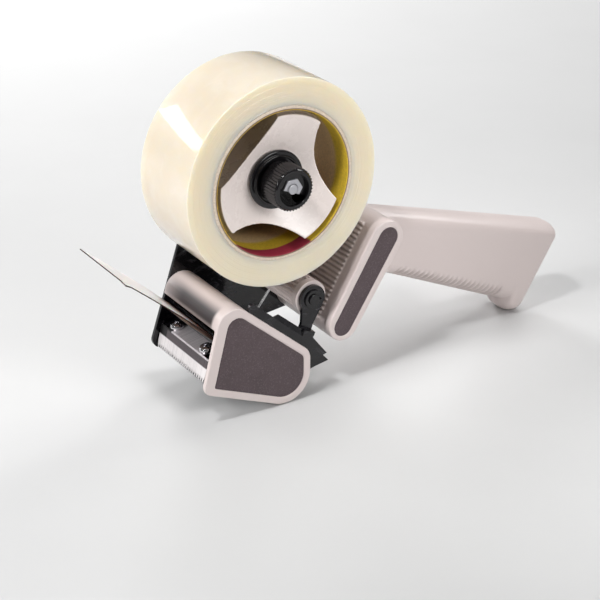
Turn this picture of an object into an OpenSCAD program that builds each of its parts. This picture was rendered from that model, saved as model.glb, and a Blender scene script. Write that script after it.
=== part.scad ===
// Handheld tape dispenser for box sealing. A steel side frame and a moulded pistol grip
// carry a braked hub with a roll of film, and a head with rollers, a toothed cutter and
// a flexible wiper flap. It stands as it is put down: on its press roller and the hook.
// X runs back to the grip, Y across the tape away from the loading side, Z up.

/* [Tape roll] */
// Width of the tape
tape_w = 48; // [36:1:60]
// Outside diameter of the roll
tape_od = 110; // [92:1:118]
// Bore of the card core
core_id = 76.2; // [70:0.1:82]
// Wall of the card core
core_wall = 2.5; // [1.5:0.1:4]

/* [Hub] */
// Radial play between the hub's lobes and the core
hub_play = 0.3; // [0.2:0.05:1]
// Wall of the hub
hub_wall = 2.4; // [1.6:0.1:4]
// Angle that each of the three lobes covers
lobe_angle = 40; // [25:1:60]
// Depth of each scallop below the chord between two lobes
scallop_sag = 5.7; // [2:0.1:7]
// Turn of the first lobe above level
lobe_turn = 73; // [0:1:119]
// How far the hub's middle lies behind its rim
dish_depth = 8.5; // [4:0.5:11]
// Diameter of the boss round the bush
boss_d = 22; // [19:0.5:26]

/* [Spindle and brake] */
// Diameter of the journal that the hub turns on
journal_d = 12; // [9:0.5:14]
// Diameter of the threaded end
thread_d = 6; // [5:0.5:8]
// Wall of the bearing bush
bush_wall = 2; // [1:0.1:3]
// Diameter of the shoulder against the side plate
shoulder_d = 20; // [16:0.5:26]
// Thickness of the friction ring
ring_t = 1; // [0.6:0.1:2]
// Diameter of the pressure flange
flange_d = 31; // [26:0.5:34]
// Thickness of the pressure flange
flange_t = 1.8; // [1.2:0.1:3]
// Diameter of the knob over its knurl
knob_d = 23; // [19:0.5:25]
// How far the knob stands out of the tape's face
knob_reach = 10; // [7:0.5:16]
// Room between the knob's skirt and the flange
knob_gap = 1.6; // [1.2:0.1:3]
// Number of knurl ribs
knurl_count = 40; // [20:2:60]
// Depth of the knurl
knurl_depth = 0.7; // [0.4:0.1:1.2]
// Width of the brake nut across its flats
nut_af = 10; // [9:0.5:13]
// Height of the brake nut
nut_h = 5; // [3:0.5:6]
// Depth of the recess in the knob's end
recess_depth = 2.5; // [1:0.5:4]
// Wire of the brake spring
spring_wire = 1.1; // [0.6:0.1:1.6]
// Turns of the brake spring
spring_turns = 4.5; // [2.5:0.5:5.5]

/* [Frame] */
// Thickness of the steel side plates
plate_t = 2; // [1.5:0.1:3]
// Room between the tape's edges and the plates
side_gap = 1.4; // [0.8:0.1:3]
// Height of the hub axis over the floor, less the roll's radius
hub_rise = 66.3; // [64:0.1:80]
// Radius of the plate's eye round the spindle
eye_r = 18; // [14:0.5:24]

/* [Head] */
// Slope of the head's foot as the dispenser stands
rest_tilt = 22.7; // [18:0.1:26]
// Radius of the press roller, which the head stands on
foot_r = 16; // [14.5:0.1:18]
// How far the press roller stands out of the cheek
foot_proud = 0.6; // [0.3:0.1:1.5]
// Place of the press roller ahead of the hub axis
roller_back = 3.5; // [0:0.5:8]
// Length of the foot ahead of the press roller
foot_len = 46.2; // [44:0.1:52]
// Thickness of the head cover's cheek
cheek_t = 2.5; // [2:0.1:4]
// Wall of the head cover's nose
nose_wall = 2.2; // [1.5:0.1:3]
// Width of the rim round the cheek's inset panel
rim_w = 4; // [3:0.1:6]
// Extra width of that rim along the front
rim_front = 2.2; // [0:0.1:3]
// Depth of both inset panels
inset_depth = 1; // [0.6:0.1:1.4]

/* [Rollers] */
// Diameter of both roller axles
axle_d = 6; // [4:0.5:8]
// Diameter of the press roller's rigid core
roller_core_d = 22; // [16:0.5:26]
// Outside radius of the ribbed guide roller
guide_r = 9.2; // [8:0.1:11.6]
// Number of ribs round the guide roller
guide_ribs = 22; // [12:1:30]
// Depth of the guide roller's ribs
guide_rib_h = 1; // [0.5:0.1:2]
// Width of the plain band at each end of the guide roller
guide_band = 4; // [2:0.5:8]

/* [Cutter and wiper] */
// Thickness of the cutter strip
blade_t = 0.8; // [0.5:0.1:1.5]
// Length of the cutter's mounting face
shelf_len = 9.5; // [8:0.1:12]
// Length of the cutter below its bend, to the tips
lip_len = 12.2; // [9:0.1:14]
// Height of the teeth
tooth_h = 3.4; // [1.5:0.1:5]
// Number of teeth
tooth_count = 24; // [12:1:36]
// Distance between the two cutter screws
screw_span = 30.6; // [24:0.1:34]
// Length of the wiper flap
flap_len = 70; // [50:1:80]
// Thickness of the wiper flap
flap_t = 0.6; // [0.4:0.1:1]
// Rise of the wiper flap above the foot's slope
flap_rise = 19.9; // [14:0.1:24]
// Upward curl of the wiper flap over its length, below 0 where it sags
flap_curl = -2.2; // [-8:0.1:8]
// Length of the backing leaf
leaf_len = 22; // [12:1:30]
// Thickness of the backing leaf
leaf_t = 1.2; // [0.6:0.1:1.6]

/* [Neck and grip] */
// Lean of the neck away from upright
neck_lean = 30.4; // [26:0.1:34]
// Radius of the neck's rounded lower end
neck_r = 9.3; // [8:0.1:11]
// Length of the neck between the centres of its ends
neck_len = 50; // [46:0.5:54]
// Space between the neck's ribs
neck_pitch = 2.6; // [2:0.1:4]
// Height of the neck's ribs
neck_rib_h = 1; // [0.5:0.1:2]
// How far the neck's side stands outside the tape's face
neck_proud = 3; // [2.6:0.1:5]
// Width of the neck's inset strip at its lower end
strip_w = 10.8; // [9:0.1:12]
// Width of the grip across the hand
grip_w = 25; // [22:0.5:30]
// Depth of the grip's domed back and underside
grip_edge = 8.5; // [6:0.1:8.5]
// Number of ribs under the grip
grip_ribs = 22; // [10:1:26]
// Height of those ribs
grip_rib_h = 0.7; // [0.4:0.1:1.2]

/* [Hidden] */
$fn = 64;

// Running clearance of a shaft, and the play of a screw in its hole
run = 0.05;
// Play of parts that pass each other
play = 0.3;

// Across the tape
tape_y = tape_w/2;
plate_in = tape_y + side_gap;
plate_out = plate_in + plate_t;
cheek_out = plate_out + cheek_t;
neck_out = tape_y + neck_proud;
grip_y = grip_w/2;

// Roll and hub
tape_r = tape_od/2;
core_r = core_id/2;
film_r = core_r + core_wall + run;
hub_r = core_r - hub_play;
hub_y = tape_y - 0.5;
hub_h = tape_r + hub_rise;
hub_c = [0, hub_h];
chord_r = hub_r*cos(60 - lobe_angle/2);
chord_half = hub_r*sin(60 - lobe_angle/2);
scallop_r = (chord_half*chord_half + scallop_sag*scallop_sag)/(2*scallop_sag);
scallop_c = chord_r - scallop_sag + scallop_r;
dish_y = dish_depth - hub_y;
boss_r = boss_d/2;
seat_r = flange_d/2 + 0.8;
rim_taper = 2.2;
rim_taper_len = 6;
journal_r = journal_d/2;
bush_r = journal_r + bush_wall;
thread_r = thread_d/2;

// Brake stack along the spindle, from the hub's face to the knob's end
ring_y = dish_y - ring_t;
flange_y = ring_y - flange_t;
knob_y0 = -tape_y - knob_reach;
knob_y1 = flange_y - knob_gap;
knob_r = knob_d/2;
knob_body_r = knob_r - knurl_depth - 0.1;
nut_y0 = knob_y0 + recess_depth - 1;
nut_y1 = nut_y0 + nut_h;
cavity_y = nut_y1 + 1;
cavity_r = knob_r - 3;
recess_r = knob_body_r - 2.2;
spring_r = cavity_r - spring_wire;
journal_y = dish_y + 2.5;

// Head frame: origin on the press roller's axis, with the foot level
roller_c = [-roller_back, foot_r];
cheek_r = foot_r - foot_proud;
function turn(p, a) = [p[0]*cos(a) + p[1]*sin(a), p[1]*cos(a) - p[0]*sin(a)];
function head_at(p) = roller_c + turn(p, rest_tilt);

// Corners of the cheek, each with its radius: nose, back, heel and toe
nose_over = 7.5;
nose_h = 37.1;
back_len = 10.4;
back_h = 16.1;
heel_len = 23.5;
cheek_pts = [[-foot_len - nose_over, nose_h, 10], [back_len, back_h, 8],
    [heel_len, -cheek_r, cheek_r], [-foot_len, -cheek_r, 5]];
top_slope = (nose_h - back_h)/(foot_len + nose_over + back_len);
panel_pts = drawn_in([cheek_pts[0] + rim_front*[1, -top_slope, 0], cheek_pts[1], cheek_pts[2],
    cheek_pts[3] + [rim_front, 0, 0]], rim_w);
nose_lip = 18.2;
nose_rear = -foot_len + 10;

// Guide roller, over the press roller
guide_p = [5.4, 42.3];
guide_c = head_at(guide_p);
arm_in = -tape_y + 2.6;
arm_wall = 4.5;
arm_out = arm_in - plate_t;
guide_y0 = arm_in + play;
guide_y1 = tape_y - 0.2;
arm_r = axle_d/2 + arm_wall;

// Cutter: a sloping face with two screws, and a toothed lip that hangs from it
shelf_drop = 33.4;
lip_lean = 8.6;
bend_p = [-foot_len + 0.4, 1.1];
shelf_p = bend_p + shelf_len*[cos(shelf_drop), sin(shelf_drop)];
tip_p = bend_p + lip_len*[sin(lip_lean), -cos(lip_lean)];
screw_p = bend_p + 0.46*shelf_len*[cos(shelf_drop), sin(shelf_drop)];
screw_r = 2;
screw_len = 7;
blade_y = tape_y + 0.4;
shelf_y = screw_span/2 + screw_r + 1.1;
tooth_root = lip_len - tooth_h + blade_t;
tooth_pitch = 2*blade_y/tooth_count;

// Wiper: root bead in its clamp, from which the flap rises forward
flap_p = [-foot_len + 3.5, 11.5];
bead_r = 1.1;
flap_y = tape_y;

// Neck frame: origin at the centre of its lower end, leaning back
neck_c = [35.1, 34.8];
function neck_at(p) = neck_c + turn(p, neck_lean);
neck_top_r = neck_r + 1.2;
neck_w2 = neck_r + 0.2;
strip_low = [0.2, -1.2];
strip_top = [1.9, neck_len + 1.2];

// Grip: centres and radii of the discs that its smooth form is drawn round
grip_front = [66.4, 73.8, 12];
grip_under = [77, 59, 12];
grip_heel = [160, 18, 9];
grip_end = [187.9, 43, 6.5];
grip_root = [166, 26, 9];
grip_hook = [165.2, 9, 9];
grip_flat = 1.5;

// Line that touches the grip's underside, and its outward normal
under_way = [grip_heel[0] - grip_under[0], grip_heel[1] - grip_under[1]];
under_n = turn(unit(under_way), acos((grip_under[2] - grip_heel[2])/norm(under_way)));
function under_at(s) = [grip_under[0], grip_under[1]] + s*under_way
    + (grip_under[2] + s*(grip_heel[2] - grip_under[2]))*under_n;

// The part's own origin is under the middle of its box
flap_tips = [for (s = [0, flap_t]) head_at(flap_pt(flap_len, s))];
front_x = min(flap_tips[0][0], flap_tips[1][0]);
mid_x = (front_x + grip_end[0] + grip_end[2])/2;
mid_y = (knob_y0 + plate_out)/2;

beige = [0.82, 0.79, 0.74];
dark_panel = [0.33, 0.28, 0.29];
black_steel = [0.09, 0.09, 0.1];
bright_steel = [0.75, 0.75, 0.77];
black_plastic = [0.13, 0.13, 0.14];

// Outline helpers

function unit(v) = v/norm(v);
function on_circle(t) = [cos(360*t), sin(360*t)];

// Points of one corner b between a and c, rounded to radius r
function corner(a, b, c, r) =
    let (u = unit(a - b), v = unit(c - b), half = acos(u*v)/2,
        o = b + unit(u + v)*r/sin(half), s = b + u*r/tan(half) - o,
        way = cross(u, v) > 0 ? -1 : 1, sweep = 180 - 2*half, n = max(1, ceil(sweep/10)))
    [for (k = [0:n]) o + turn(s, -way*sweep*k/n)];

// A closed outline of points [x, z, radius], with round corners
function rounded(pts) = [for (i = [0:len(pts) - 1])
    let (b = pts[i], a = pts[(i + len(pts) - 1) % len(pts)], c = pts[(i + 1) % len(pts)])
    each b[2] == 0 ? [[b[0], b[1]]] : corner([a[0], a[1]], [b[0], b[1]], [c[0], c[1]], b[2])];

// The same outline drawn in by d, its corners' radii with it
function drawn_in(pts, d) = [for (i = [0:len(pts) - 1])
    let (b = [pts[i][0], pts[i][1]], p = pts[(i + len(pts) - 1) % len(pts)], q = pts[(i + 1) % len(pts)],
        u = unit([p[0], p[1]] - b), v = unit([q[0], q[1]] - b), half = acos(u*v)/2,
        m = b + unit(u + v)*d/sin(half))
    [m[0], m[1], max(pts[i][2] - d, 0.8)]];

// Outline of two discs and the straight sides that touch both
function arc(c, r, from, a0, a1) = [for (k = [0:18]) c + r*turn(from, a0 + (a1 - a0)*k/18)];
module tapered(c0, r0, c1, r1) {
    d = unit(c1 - c0);
    a = acos((r0 - r1)/norm(c1 - c0));
    polygon(concat(arc(c1, r1, d, -a, a), arc(c0, r0, d, a, 360 - a)));
}

// A flat outline in X and Z, carried across from y0 to y1
module across(y0, y1) translate([0, y1, 0]) rotate([90, 0, 0]) linear_extrude(y1 - y0) children();

// A profile of [radius, y] points turned about the Y axis
module spun(profile) rotate([-90, 0, 0]) rotate_extrude($fn = 96) polygon(profile);

// A round bar along Y
module bar(at, r, y0, y1) translate([at[0], y1, at[1]]) rotate([90, 0, 0]) cylinder(r = r, h = y1 - y0);

module placed() translate([-mid_x, -mid_y, 0]) children();
module in_head() placed() translate([roller_c[0], 0, roller_c[1]]) rotate([0, rest_tilt, 0]) children();
module in_neck() placed() translate([neck_c[0], 0, neck_c[1]]) rotate([0, neck_lean, 0]) children();
module on_hub() placed() translate([0, 0, hub_h]) children();

// Side frame

// Point where the line from p touches the eye round the spindle, on side +1 or -1
function touch(p, side) =
    let (d = p - hub_c, a = atan2(d[1], d[0]) + side*acos(eye_r/norm(d)))
    hub_c + eye_r*[cos(a), sin(a)];

plate_inset = 1;
plate_lead = 5.5;
plate_top = 46.2;
plate_round = 9;
far_front = head_at([-foot_len - plate_lead, plate_top]);
far_neck = neck_at([neck_w2 + 2.2, neck_len + 10.5]);
far_toe = head_at([-foot_len - 1.6, -cheek_r + plate_inset + 2.8]);
far_heel = head_at([heel_len - 1, -cheek_r + plate_inset]);
far_step = head_at([11, 12]);
far_under = neck_at([neck_w2, -4]);
far_eye_l = touch(far_front, -1);
far_eye_r = touch(far_neck, 1);
slit_at = [18, 33.5];
slit_len = 14.5;
slit_w = 1.6;
slit_turn = 52;

module far_outline() {
    polygon(rounded([[far_front[0], far_front[1], 3], [far_toe[0], far_toe[1], 5],
        [far_heel[0], far_heel[1], cheek_r - plate_inset], [far_step[0], far_step[1], 3],
        [far_under[0], far_under[1], 0.7*plate_round], [far_neck[0], far_neck[1], plate_round],
        [far_eye_r[0], far_eye_r[1], 0], [far_eye_l[0], far_eye_l[1], 0]]));
    translate(hub_c) circle(eye_r);
}

neck_screws = [[0, 2], [0.6, neck_len/2], [1.2, neck_len - 2]];
csk_r = 4;

module csk(r_head, r_shank, len) spun([[0, plate_out - len], [r_shank, plate_out - len],
    [r_shank, plate_out - r_head + r_shank], [r_head, plate_out], [0, plate_out]]);

module far_side_plate() color(black_steel) difference() {
    placed() across(plate_in, plate_out) difference() {
        far_outline();
        translate(slit_at) rotate(slit_turn) square([slit_len, slit_w], center = true);
    }
    on_hub() bar([0, 0], journal_r + run, plate_in - 1, plate_out + 1);
    in_head() for (p = [guide_p, [0, 0]]) bar(p, axle_d/2 + run, plate_in - 1, plate_out + 1);
    in_head() for (p = tie_ps) bar(p, tie_r + run, plate_in - 1, plate_out + 1);
    in_neck() for (p = neck_screws) translate([p[0], 0, p[1]]) csk(csk_r + run, screw_r + run, plate_t + 1);
}

module frame_screws() color(bright_steel) in_neck() for (p = neck_screws)
    translate([p[0], 0, p[1]]) csk(csk_r, screw_r, plate_t + 12);

// Near plate: inside the cheek, with the arm for the guide roller and a toothed tail
function top_of(p) = nose_h - top_slope*(p + foot_len + nose_over);
band_h = 4.5;
arm_x = guide_p[0] - 1.5;
arm_back = back_len + 0.8;
joggle_z = 24;
cover_ps = [[-foot_len + 16.2, 5], [-2, 10]];

module near_outline() {
    polygon(rounded([[-foot_len + 2.4, -cheek_r + 2, 4], [-foot_len - 2.2, 22, 4],
        [nose_rear + 0.8, top_of(nose_rear) - 3.6, 1], [nose_rear + 1.8, top_of(nose_rear) + band_h, 2],
        [arm_x, top_of(arm_x) + band_h, 0], [arm_x, joggle_z + plate_t, 0], [arm_back, joggle_z + plate_t, 0],
        [arm_back - 0.2, joggle_z - 1.2, 0.5], [23.3, 15.7, 0], [21.4, 14.2, 0], [26, 11.9, 0],
        [19, 7.5, 0], [cheek_r - 4, 2, 0], [0, -cheek_r + 2, 0]]));
    circle(cheek_r - 2);
}

// Lip along the plate's upper edge, which leans in beside the tape
lip_from = -foot_len + 26.7;
lip_h = 3.2;
lip_t = 1;
lip_in = 20;
lip_sunk = 0.8;
band_turn = atan(top_slope);

module band_lip() {
    len = (arm_x - lip_from)/cos(band_turn);
    translate([lip_from, -plate_out, top_of(lip_from) + band_h]) rotate([0, band_turn, 0])
        rotate([-lip_in, 0, 0]) across(0.35, 0.35 + lip_t)
        polygon([[0, -lip_sunk], [1, 0], [1 + lip_h, lip_h], [len + 0.5, lip_h], [len + 0.5, -lip_sunk]]);
}

// Arm of the guide roller, bent inward from the plate's upper edge
module arm_outline() {
    polygon(rounded([[arm_x, joggle_z, 0], [arm_x, guide_p[1] - 1.9*arm_r, 2],
        [guide_p[0] - 0.6*arm_r, guide_p[1] - 0.8*arm_r, 0], [guide_p[0] + arm_r, guide_p[1], 0],
        [arm_back, guide_p[1] - 1.7*arm_r, 3], [arm_back, joggle_z, 0]]));
    translate(guide_p) circle(arm_r);
}

module near_side_plate() color(black_steel) in_head() difference() {
    union() {
        across(-plate_out, -plate_in) near_outline();
        across(-plate_out, arm_in) translate([arm_x, joggle_z]) square([arm_back - arm_x, plate_t]);
        across(arm_out, arm_in) arm_outline();
        band_lip();
    }
    bar(guide_p, axle_d/2 + run, arm_out - 1, arm_in + 1);
    bar([0, 0], axle_d/2 + run, -plate_out - 1, -plate_in + 1);
    for (p = tie_ps) bar(p, tie_r + run, -plate_out - 1, -plate_in + 1);
    for (p = cover_ps) bar(p, screw_r + run, -plate_out - 1, -plate_in + 1);
}

// Tie rods: shouldered spacers whose ends are riveted flush in both plates
tie_r = 2.5;
tie_body_r = 4;
tie_clear = 2;
tie_ahead = foot_r + tie_body_r + tie_clear;
tie_ps = [[-tie_ahead - 2, 19], [-tie_ahead, -5]];

module tie_rods() color(black_steel) in_head() for (p = tie_ps) {
    bar(p, tie_body_r, -plate_in, plate_in);
    bar(p, tie_r, -plate_out, plate_out);
}

// Head cover

module nose_window() polygon([[-80, nose_lip], [nose_rear - 6, nose_lip], [nose_rear, top_of(nose_rear) - 4],
    [nose_rear, top_of(nose_rear) + 10], [-80, top_of(nose_rear) + 30]]);

module head_cover() color(beige) in_head() {
    across(-plate_out - 0.01, plate_in) intersection() {
        difference() {
            polygon(rounded(cheek_pts));
            polygon(rounded(drawn_in(cheek_pts, nose_wall)));
        }
        nose_window();
    }
    difference() {
        across(-cheek_out, -plate_out) polygon(rounded(cheek_pts));
        across(-cheek_out - 1, -cheek_out + inset_depth) polygon(rounded(panel_pts));
        for (p = cover_ps) bar(p, screw_r + run, -cheek_out - 1, -plate_out + 1);
    }
}

module cheek_inset() color(dark_panel) in_head() difference() {
    across(-cheek_out + 0.2, -cheek_out + inset_depth) polygon(rounded(drawn_in(panel_pts, run)));
    for (p = cover_ps) bar(p, screw_r + 0.8, -cheek_out - 1, -cheek_out + inset_depth - 0.2);
}

// Screws whose heads lie under the inset panel
module cover_screws() color(bright_steel) in_head() for (p = cover_ps)
    bar(p, screw_r, -cheek_out + inset_depth + run, -plate_in);

// Cutter

holder_back = 8;
holder_drop = 8;

module blade_holder() color(black_plastic) in_head() difference() {
    across(-plate_in, plate_in) polygon([bend_p + [1.2, -0.9], shelf_p + [0, -0.05], shelf_p + [3, 2],
        shelf_p + [holder_back - 1, 2], [shelf_p[0] + holder_back, 2], [shelf_p[0] + 3, -holder_drop],
        [bend_p[0] + 3.4, -holder_drop]]);
    for (s = [-1, 1]) blade_screw_at(s) translate([0, 0, -screw_len - 1])
        cylinder(r = screw_r + run, h = screw_len + 2);
}

module blade_screw_at(s) translate([screw_p[0], s*screw_span/2, screw_p[1]])
    rotate([0, -shelf_drop, 0]) children();

module cutter_blade() color(bright_steel) in_head() difference() {
    union() {
        translate([bend_p[0], 0, bend_p[1]]) rotate([0, -shelf_drop, 0])
            translate([0, -shelf_y, 0]) cube([shelf_len, 2*shelf_y, blade_t]);
        translate([bend_p[0], 0, bend_p[1]]) rotate([0, -lip_lean, 0]) translate([0, 0, blade_t])
            rotate([-90, 0, 90]) linear_extrude(blade_t) polygon([[-blade_y, 0], [blade_y, 0],
                [blade_y, tooth_root], for (k = [tooth_count - 1:-1:0]) each [
                    [(k + 0.5)*tooth_pitch - blade_y, lip_len + blade_t],
                    [k*tooth_pitch - blade_y, tooth_root]]]);
    }
    for (s = [-1, 1]) blade_screw_at(s) translate([0, 0, -2]) cylinder(r = screw_r + 0.15, h = 5);
}

module blade_screws() color(bright_steel) in_head() for (s = [-1, 1]) blade_screw_at(s) {
    translate([0, 0, -screw_len]) cylinder(r = screw_r, h = screw_len + blade_t);
    translate([0, 0, blade_t]) difference() {
        rotate_extrude() polygon([[0, 0], [4, 0], [4, 1.2], [3.4, 2.2], [2, 2.7], [0, 2.8]]);
        for (a = [0, 90]) rotate(a) translate([-2.2, -0.5, 1.2]) cube([4.4, 1, 3]);
    }
}

// Wiper

// Point on the flap's upper (s above 0) or lower face, at a length along it from the bead
function flap_pt(len, s) =
    let (a = flap_rise + flap_curl*(len/flap_len - 0.5))
    flap_p + [-len*cos(a), len*sin(a)] + s*[sin(a), cos(a)];

function strip(l0, l1, s0, s1) = let (n = 12) concat(
    [for (k = [0:n]) flap_pt(l0 + (l1 - l0)*k/n, s1)],
    [for (k = [n:-1:0]) flap_pt(l0 + (l1 - l0)*k/n, s0)]);

module wiper_flap() color([0.8, 0.74, 0.68]) in_head() {
    across(-flap_y, flap_y) polygon(strip(0, flap_len, 0, flap_t));
    bar(flap_p, bead_r, -flap_y, flap_y);
}

module wiper_leaf() color([0.3, 0.2, 0.15]) in_head()
    across(-flap_y + 1, flap_y - 1) polygon(strip(3.2, leaf_len, -leaf_t - run, -run));

// Mouth of the clamp: its upper face clears the flap at its highest, its lower face the leaf at its lowest
mouth_rise = flap_rise - flap_curl/2 + 13;
mouth_in = flap_p + (flap_t + play)*[sin(mouth_rise), cos(mouth_rise)];
mouth_len = 8;

module wiper_clamp() color(black_plastic) in_head() difference() {
    across(-plate_in, plate_in) polygon([flap_p + [-1.4, 2.8], flap_p + [3, 3], shelf_p + [6.5, 3.5],
        shelf_p + [6.5, 2], shelf_p + [3, 2], shelf_p + [0.6, 1.2], flap_p + [-1.0, -2.6]]);
    bar(flap_p, bead_r + play, -plate_in - 1, plate_in + 1);
    across(-plate_in - 1, plate_in + 1) polygon([flap_p, mouth_in,
        mouth_in + mouth_len*[-cos(mouth_rise), sin(mouth_rise)], flap_p + [-6, -1.6]]);
}

// Rollers

rib_sink = 0.2;
guide_mid = (guide_y0 + guide_y1)/2;
guide_half = (guide_y1 - guide_y0)/2;

module guide_roller() color(beige) in_head() translate([guide_p[0], guide_mid, guide_p[1]]) difference() {
    union() {
        across(-guide_half, guide_half) polygon([for (k = [0:guide_ribs - 1]) each
            [for (s = [[0, 0], [0.3, 1], [0.6, 1], [0.9, 0]])
                (guide_r - rib_sink - guide_rib_h*(1 - s[1]))*on_circle((k + s[0])/guide_ribs)]]);
        bar([0, 0], guide_r, -guide_half, -guide_half + guide_band);
        bar([0, 0], guide_r, guide_half - guide_band, guide_half);
    }
    bar([0, 0], axle_d/2 + run, -tape_w, tape_w);
}

clip_t = 1;
clip_r = axle_d/2 - 0.8;

module guide_axle() color(bright_steel) in_head() difference() {
    bar(guide_p, axle_d/2, arm_out - 2*clip_t, plate_out);
    translate([guide_p[0], 0, guide_p[1]]) spun([[clip_r, arm_out - clip_t - 0.1],
        [axle_d, arm_out - clip_t - 0.1], [axle_d, arm_out], [clip_r, arm_out]]);
}

module axle_clip() color(black_steel) in_head() across(arm_out - clip_t, arm_out - 0.05)
    translate(guide_p) rotate(35) difference() {
        circle(axle_d/2 + 2);
        circle(clip_r + run);
        translate([0, -1.6]) square([axle_d, 3.2]);
    }

roller_y = tape_y - 0.4;

module press_roller() color(black_plastic) in_head() difference() {
    bar([0, 0], roller_core_d/2, -roller_y, roller_y);
    bar([0, 0], axle_d/2 + run, -tape_w, tape_w);
}

module roller_sleeve() color([0.16, 0.15, 0.15]) in_head() difference() {
    bar([0, 0], foot_r, -roller_y, roller_y);
    bar([0, 0], roller_core_d/2 + 0.02, -tape_w, tape_w);
}

module roller_axle() color(bright_steel) in_head() bar([0, 0], axle_d/2, -plate_out, plate_out);

// Handle: ribbed neck and pistol grip in one moulding

// Disc of radius c[2] whose rim is domed across the hand
module puck(c, less = 0) translate([c[0], 0, c[1]]) rotate([90, 0, 0]) rotate_extrude($fn = 32)
    let (r = c[2] - less, b = min(grip_edge, r - 0.5), w = grip_y - less/5, e = w - grip_flat)
    polygon([[0, -w], for (k = [0:12]) let (a = -90 + 15*k)
            [r - b + b*cos(a), (a < 0 ? -grip_flat : grip_flat) + e*sin(a)], [0, w]]);

module grip() placed() {
    hull() {
        puck(grip_front);
        puck(grip_under);
        puck(grip_heel);
        puck(grip_end);
    }
    hull() {
        puck(grip_end, 0.2);
        puck(grip_root, 0.2);
        puck(grip_hook);
    }
}

// Ribs round the underside, which fade out where its dome meets the sides
under_turn = atan2(under_way[1], under_way[0]);
rib_pitch = 0.8*norm(under_way)/grip_ribs;
rib_in = 1.5;
module under_ribs() placed() for (k = [0:grip_ribs - 1])
    let (c = under_at(0.1 + 0.8*k/(grip_ribs - 1)) - grip_edge*under_n)
    translate([c[0], 0, c[1]]) rotate([0, -under_turn, 0]) rotate([0, 90, 0])
    linear_extrude(rib_pitch/2, center = true)
    scale([grip_edge + grip_rib_h, grip_y - rib_in]) circle(1, $fn = 32);

module neck_outline() tapered([0, 0], neck_r, [neck_top_r - neck_r, neck_len], neck_top_r);

module strip_outline(d) tapered(strip_low, strip_w/2 - d, strip_top, strip_w/2 + 0.6 - d);

module neck() in_neck() {
    difference() {
        across(-neck_out, plate_in) neck_outline();
        across(-neck_out - 1, -neck_out + inset_depth) strip_outline(0);
    }
    for (k = [0:floor((neck_len + 6)/neck_pitch)]) across(-tape_y + 7, plate_in)
        translate([-neck_r - neck_rib_h, k*neck_pitch - 3]) square([neck_rib_h + 2, neck_pitch/2]);
}

module handle() color(beige) difference() {
    union() {
        grip();
        under_ribs();
        neck();
    }
    in_neck() for (p = neck_screws) bar(p, screw_r + run, plate_out - plate_t - 13, plate_out + 1);
}

module neck_inset() color(dark_panel) in_neck()
    across(-neck_out + 0.2, -neck_out + inset_depth) strip_outline(run);

// Spindle, hub and brake

module spindle() color(bright_steel) on_hub() spun([[0, nut_y0 - 0.5], [thread_r - 0.6, nut_y0 - 0.5],
    [thread_r, nut_y0 + 0.1], [thread_r, journal_y], [journal_r, journal_y],
    [journal_r, plate_in - 1], [shoulder_d/2, plate_in - 1], [shoulder_d/2, plate_in], [journal_r, plate_in],
    [journal_r, plate_out], [0, plate_out]]);

// Three-lobed outline: a disc less three wide scallops, drawn in by d
module lobed(d) difference() {
    circle(hub_r - d, $fn = 128);
    for (k = [0:2]) rotate(lobe_turn + 60 + 120*k) translate([scallop_c, 0]) circle(scallop_r + d, $fn = 128);
}

module hub() color(beige) on_hub() difference() {
    intersection() {
        across(-hub_y, hub_y) lobed(0);
        spun([[0, dish_y], [seat_r, dish_y], [hub_r - rim_taper, -hub_y],
            [hub_r, -hub_y + rim_taper_len], [hub_r, hub_y], [0, hub_y]]);
    }
    intersection() {
        across(-hub_y, hub_y + 1) lobed(hub_wall);
        spun([[boss_r, dish_y + hub_wall], [seat_r, dish_y + hub_wall],
            [hub_r - rim_taper, -hub_y + hub_wall],
            [hub_r - hub_wall, -hub_y + rim_taper_len + hub_wall], [hub_r - hub_wall, hub_y + 1],
            [boss_r, hub_y + 1]]);
    }
    bar([0, 0], bush_r + 0.02, journal_y, tape_w);
    bar([0, 0], thread_r + 0.6, -tape_w, tape_w);
}

module hub_bush() color([0.72, 0.6, 0.4]) on_hub() difference() {
    bar([0, 0], bush_r, journal_y + 0.1, hub_y);
    bar([0, 0], journal_r + run, -tape_w, tape_w);
}

module friction_ring() color([0.35, 0.28, 0.22]) on_hub() difference() {
    bar([0, 0], flange_d/2 - 1, ring_y, dish_y);
    bar([0, 0], thread_r + 0.6, -tape_w, tape_w);
}

module brake_flange() color(black_plastic) on_hub() difference() {
    spun([[0, ring_y], [flange_d/2, ring_y], [flange_d/2, flange_y + 0.5], [flange_d/2 - 0.5, flange_y],
        [knob_r + 1.6, flange_y], [knob_r + 1.6, flange_y - 1], [knob_r + 0.6, flange_y - 1],
        [knob_r + 0.6, flange_y], [0, flange_y]]);
    bar([0, 0], thread_r + run, -tape_w, tape_w);
}

module nut_hex(af, y0, y1) translate([0, y1, 0]) rotate([90, 0, 0])
    cylinder(r = af/2/cos(30), h = y1 - y0, $fn = 6);

module brake_knob() color(black_plastic) on_hub() difference() {
    union() {
        across(knob_y0 + 1.1, knob_y1 - 3) polygon([for (k = [0:2*knurl_count - 1])
            (knob_r - (k % 2)*knurl_depth)*on_circle(k/(2*knurl_count))]);
        spun([[0, knob_y0], [knob_body_r - 0.6, knob_y0], [knob_body_r, knob_y0 + 0.8],
            [knob_body_r, knob_y1], [0, knob_y1]]);
    }
    bar([0, 0], recess_r, knob_y0 - 1, knob_y0 + recess_depth);
    nut_hex(nut_af + 0.04, knob_y0, nut_y1);
    bar([0, 0], thread_r + 0.4, knob_y0, knob_y1 + 1);
    bar([0, 0], cavity_r, cavity_y, knob_y1 + 1);
}

module brake_nut() color(bright_steel) on_hub() difference() {
    nut_hex(nut_af, nut_y0, nut_y1);
    bar([0, 0], thread_r + run, -tape_w, tape_w);
}

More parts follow.
